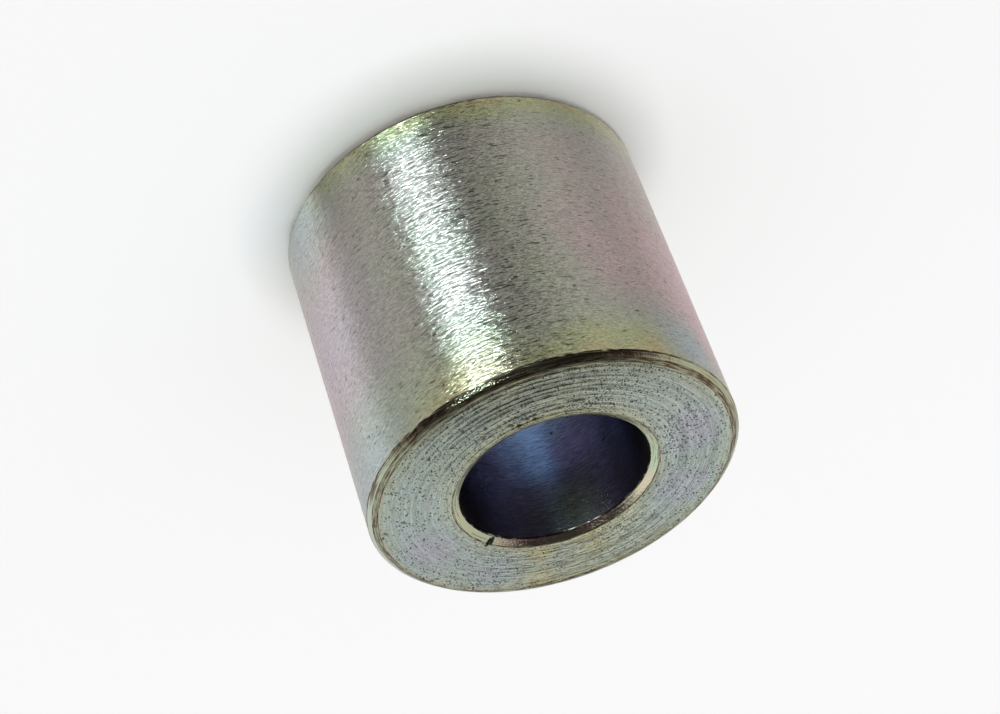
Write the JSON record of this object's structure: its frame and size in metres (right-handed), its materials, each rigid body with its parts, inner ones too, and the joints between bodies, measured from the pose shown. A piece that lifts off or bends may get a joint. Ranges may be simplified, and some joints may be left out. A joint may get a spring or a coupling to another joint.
{
  "type": "spacer sleeve",
  "caption": "Short thick-walled turned steel spacer sleeve with a plain through bore, chamfered outer edges and countersunk bore mouths.",
  "frame": {"origin": "centre of the bore at the lower end face", "axes": "+Z along the bore's axis, from the lower end face to the upper one"},
  "size_m": [0.016, 0.016, 0.0148],
  "materials": {
    "sleeve": "turned steel, zinc plated, with a thin iridescent yellow and green passivation film"
  },
  "bodies": {
    "root": {"sleeve": "sleeve"}
  },
  "joints": []
}
